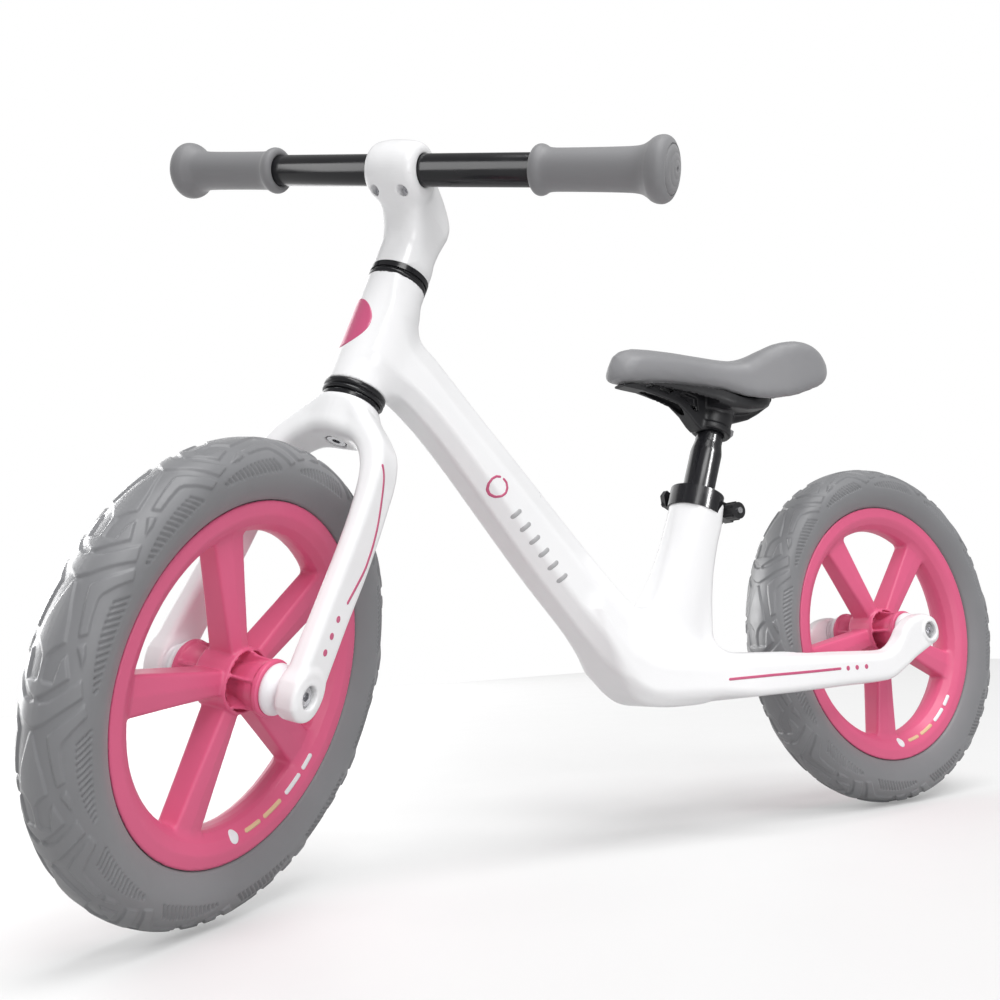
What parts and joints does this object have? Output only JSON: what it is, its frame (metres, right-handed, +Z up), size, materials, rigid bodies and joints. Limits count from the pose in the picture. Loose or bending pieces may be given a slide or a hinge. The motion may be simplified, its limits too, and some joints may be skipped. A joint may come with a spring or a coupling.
{
  "type": "balance bike",
  "caption": "Child's balance bike with a moulded step-through frame and fork, spoked wheels on foam tyres, steering headset, flat bar with grips and a height-adjustable saddle.",
  "frame": {"origin": "on the ground straight below the rear axle, in the frame's middle plane; at rest the steering is turned 35.4 degrees to the left", "axes": "+X forward, the way the bike travels; +Y to the rider's left; +Z up"},
  "size_m": [0.8583, 0.3403, 0.5449],
  "materials": {
    "white_paint": "satin",
    "white_plastic": "satin",
    "pink_plastic": "satin",
    "foam_tyre": "satin",
    "grip_rubber": "matte",
    "saddle_cover": "satin",
    "black_plastic": "satin",
    "black_paint": "gloss",
    "zinc_steel": "bright zinc"
  },
  "bodies": {
    "frame": {"frame": "white_paint", "upper_cup": "black_paint", "lower_cup": "black_paint", "upper_bearing": "zinc_steel", "lower_bearing": "zinc_steel", "seat_collar": "black_paint", "clamp_bolt": "zinc_steel", "rear_axle": "zinc_steel", "rear_axle_bolts": "zinc_steel", "rear_spacers": "white_plastic"},
    "clamp_nut": {"clamp_nut": "black_plastic"},
    "clamp_lever": {"clamp_lever": "black_plastic", "clamp_pin": "zinc_steel"},
    "rear_wheel": {"rear_rim": "pink_plastic", "rear_tyre": "foam_tyre", "rear_bearings": "zinc_steel"},
    "front_end": {"fork": "white_paint", "steerer": "zinc_steel", "crown_race": "black_paint", "top_race": "black_paint", "steerer_bolt": "zinc_steel", "stem": "white_paint", "stem_cap": "white_paint", "stem_screws": "zinc_steel", "handlebar": "black_paint", "left_grip": "grip_rubber", "right_grip": "grip_rubber", "front_axle": "zinc_steel", "front_axle_bolts": "zinc_steel", "front_spacers": "white_plastic"},
    "front_wheel": {"front_rim": "pink_plastic", "front_tyre": "foam_tyre", "front_bearings": "zinc_steel"},
    "saddle": {"seat_post": "black_paint", "saddle_base": "black_plastic", "saddle_pad": "saddle_cover", "saddle_bolt": "zinc_steel", "saddle_nut": "zinc_steel"}
  },
  "joints": [
    {"name": "steering", "type": "hinge", "parent": "frame", "child": "front_end", "pos_m": [0.57644, 0, 0.13998], "axis": [-0.3987, 0, 0.9171], "range_deg": [-95.4, 24.6]},
    {"name": "front_wheel_spin", "type": "hinge", "parent": "front_end", "child": "front_wheel", "pos_m": [0.58586, 0.0073, 0.14407], "axis": [-0.5312, 0.8151, -0.231], "continuous": true},
    {"name": "rear_wheel_spin", "type": "hinge", "parent": "frame", "child": "rear_wheel", "pos_m": [0, 0, 0.145], "axis": [0, 1, 0], "continuous": true},
    {"name": "saddle_height", "type": "slide", "parent": "frame", "child": "saddle", "axis": [-0.3584, 0, 0.9336], "range_m": [-0.038, 0.045]},
    {"name": "clamp_lever_swing", "type": "hinge", "parent": "frame", "child": "clamp_lever", "pos_m": [0.17413, -0.019, 0.24845], "axis": [0.3584, 0, -0.9336], "range_deg": [0, 160]},
    {"name": "clamp_nut_spin", "type": "hinge", "parent": "frame", "child": "clamp_nut", "pos_m": [0.17413, 0.017, 0.24845], "axis": [0, 1, 0], "continuous": true}
  ]
}
